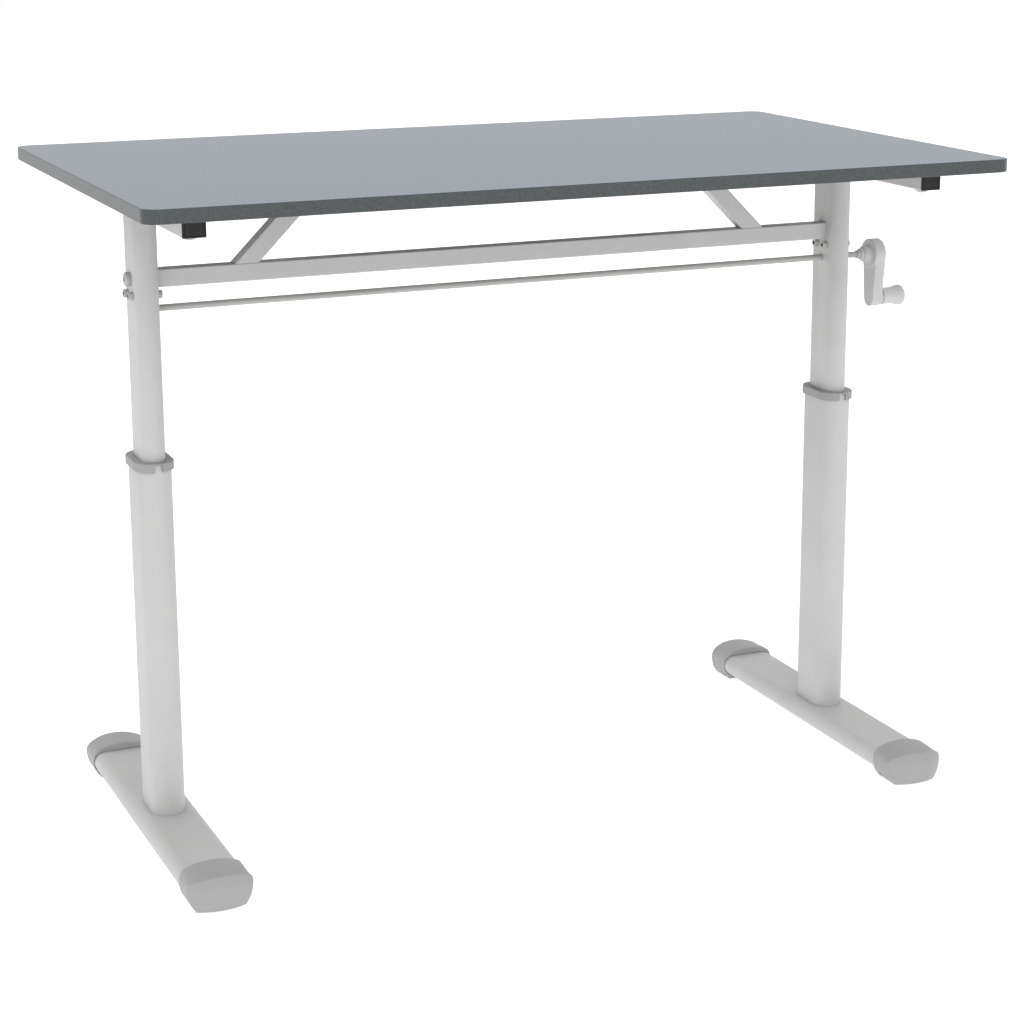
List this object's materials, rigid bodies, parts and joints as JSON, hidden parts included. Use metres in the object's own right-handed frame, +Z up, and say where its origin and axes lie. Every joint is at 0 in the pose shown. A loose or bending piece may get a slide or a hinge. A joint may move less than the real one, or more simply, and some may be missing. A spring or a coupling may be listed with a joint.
{
  "type": "height adjustable standing desk",
  "caption": "Hand-cranked sit-stand desk: grey rectangular top on two telescoping oval columns with T feet, a braced crossbar, a drive shaft and a side crank.",
  "frame": {"origin": "centre of the object's bounding box in plan, on the floor; the crank stands out on +X, so the middle of the top is 22.5 mm towards -X", "axes": "+Z up, +X along the desk towards the crank, -Y towards the user"},
  "size_m": [1.245, 0.712, 0.909],
  "materials": {
    "laminate": "blue-grey melamine on board, fine satin grain",
    "frame_paint": "light grey powder coat, satin",
    "crank_paint": "light grey paint, satin",
    "grip_plastic": "light grey moulded plastic, matt",
    "grey_plastic": "mid grey moulded plastic, matt",
    "black_plastic": "black moulded plastic, matt",
    "zinc_steel": "zinc plated steel, satin",
    "gear_steel": "hardened steel, satin",
    "bronze": "cast bronze, machined",
    "white_nylon": "natural nylon, matt",
    "cast_alloy": "die cast, as cast"
  },
  "bodies": {
    "base": {"foot_tube_left": "frame_paint", "shoe_rear_left": "grey_plastic", "shoe_front_left": "grey_plastic", "outer_column_left": "frame_paint", "collar_left": "grey_plastic", "screw_post_left": "zinc_steel", "lift_nut_left": "bronze", "foot_tube_right": "frame_paint", "shoe_rear_right": "grey_plastic", "shoe_front_right": "grey_plastic", "outer_column_right": "frame_paint", "collar_right": "grey_plastic", "screw_post_right": "zinc_steel", "lift_nut_right": "bronze"},
    "upper": {"tabletop": "laminate", "crossbar": "frame_paint", "inner_column_left": "frame_paint", "guide_block_left": "white_nylon", "top_arm_left": "frame_paint", "gearbox_front_left": "cast_alloy", "gearbox_rear_left": "cast_alloy", "bar_bolt_left": "zinc_steel", "brace_left": "frame_paint", "arm_cap_front_left": "black_plastic", "arm_screw_front_left": "zinc_steel", "box_screw_outer_front_left": "zinc_steel", "box_screw_inner_front_left": "zinc_steel", "arm_cap_rear_left": "black_plastic", "arm_screw_rear_left": "zinc_steel", "box_screw_outer_rear_left": "zinc_steel", "box_screw_inner_rear_left": "zinc_steel", "inner_column_right": "frame_paint", "guide_block_right": "white_nylon", "top_arm_right": "frame_paint", "gearbox_front_right": "cast_alloy", "gearbox_rear_right": "cast_alloy", "bar_bolt_right": "zinc_steel", "brace_right": "frame_paint", "arm_cap_front_right": "black_plastic", "arm_screw_front_right": "zinc_steel", "box_screw_outer_front_right": "zinc_steel", "box_screw_inner_front_right": "zinc_steel", "arm_cap_rear_right": "black_plastic", "arm_screw_rear_right": "zinc_steel", "box_screw_outer_rear_right": "zinc_steel", "box_screw_inner_rear_right": "zinc_steel"},
    "crank": {"drive_shaft": "zinc_steel", "crank_arm": "crank_paint", "grip_pin": "zinc_steel", "shaft_bevel_left": "gear_steel", "shaft_bevel_right": "gear_steel"},
    "grip": {"crank_grip": "grip_plastic"},
    "screw_left": {"lift_screw_left": "zinc_steel", "screw_bevel_left": "gear_steel"},
    "screw_right": {"lift_screw_right": "zinc_steel", "screw_bevel_right": "gear_steel"}
  },
  "joints": [
    {"name": "lift", "type": "slide", "parent": "base", "child": "upper", "axis": [0, 0, 1], "range_m": [-0.19, 0.2]},
    {"name": "crank_turn", "type": "hinge", "parent": "upper", "child": "crank", "pos_m": [0.5775, -0.019, 0.731], "axis": [1, 0, 0], "continuous": true},
    {"name": "screw_turn_left", "type": "hinge", "parent": "upper", "child": "screw_left", "pos_m": [-0.5425, -0.019, 0.604], "axis": [0, 0, 1], "continuous": true},
    {"name": "screw_turn_right", "type": "hinge", "parent": "upper", "child": "screw_right", "pos_m": [0.4975, -0.019, 0.604], "axis": [0, 0, 1], "continuous": true},
    {"name": "grip_spin", "type": "hinge", "parent": "crank", "child": "grip", "pos_m": [0.6075, -0.019, 0.6646], "axis": [1, 0, 0], "continuous": true}
  ],
  "couplings": [
    {"joint": "crank_turn", "follows": "lift", "rad_per_m": -785.4},
    {"joint": "screw_turn_left", "follows": "lift", "rad_per_m": 785.4},
    {"joint": "screw_turn_right", "follows": "lift", "rad_per_m": 785.4}
  ]
}
